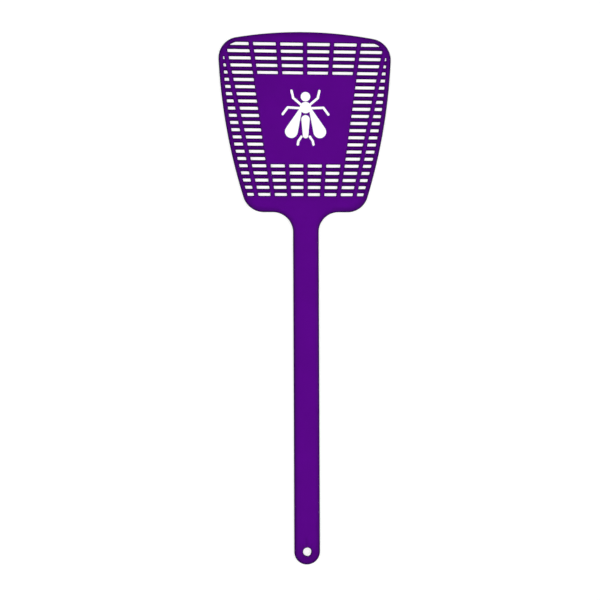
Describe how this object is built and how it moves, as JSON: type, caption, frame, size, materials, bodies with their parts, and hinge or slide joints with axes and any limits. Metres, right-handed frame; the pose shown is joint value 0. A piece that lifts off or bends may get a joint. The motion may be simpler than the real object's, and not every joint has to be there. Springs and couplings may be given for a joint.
{
  "type": "fly swatter",
  "caption": "One-piece moulded plastic fly swatter: flat strip handle with a hanging hole, and a rounded slotted head with a solid middle panel.",
  "frame": {"origin": "under the middle of the length, on the flat back face", "axes": "+Y from the heel of the handle to the head, +Z out of the printed front face, +X to the right seen from the front"},
  "size_m": [0.13, 0.4, 0.0032],
  "materials": {
    "moulding": "satin moulded plastic coloured through, presumed to be polyethylene",
    "ink": "one-colour print, presumed to be screen printed"
  },
  "bodies": {
    "grip": {"hang_eye": "moulding", "grip": "moulding"},
    "shaft": {"shaft": "moulding"},
    "head": {"neck": "moulding", "throat": "moulding", "crown": "moulding", "rim_left": "moulding", "rim_right": "moulding", "rib_left_outer": "moulding", "rib_left_middle": "moulding", "rib_left_inner": "moulding", "rib_centre": "moulding", "rib_right_inner": "moulding", "rib_right_middle": "moulding", "rib_right_outer": "moulding", "slats_row_01": "moulding", "slats_row_02": "moulding", "slats_row_03": "moulding", "slats_row_04": "moulding", "slats_row_05": "moulding", "slats_row_06": "moulding", "slats_row_07": "moulding", "slats_row_08": "moulding", "slats_row_09": "moulding", "slats_row_10": "moulding", "slats_row_11": "moulding", "slats_row_12": "moulding", "slats_row_13": "moulding", "slats_row_14": "moulding", "slats_row_15": "moulding", "slats_row_16": "moulding", "slats_row_17": "moulding", "slats_row_18": "moulding", "slats_row_19": "moulding", "slats_row_20": "moulding", "slats_row_21": "moulding", "centre_panel": "moulding", "printed_mark": "ink"}
  },
  "joints": [
    {"name": "shaft_flex", "type": "hinge", "parent": "grip", "child": "shaft", "pos_m": [0, -0.088, 0.0016], "axis": [1, 0, 0], "range_deg": [0, 25], "stiffness_Nm_per_rad": 0.5},
    {"name": "head_flex", "type": "hinge", "parent": "shaft", "child": "head", "pos_m": [0, 0.005, 0.0016], "axis": [1, 0, 0], "range_deg": [0, 25], "stiffness_Nm_per_rad": 0.5}
  ]
}
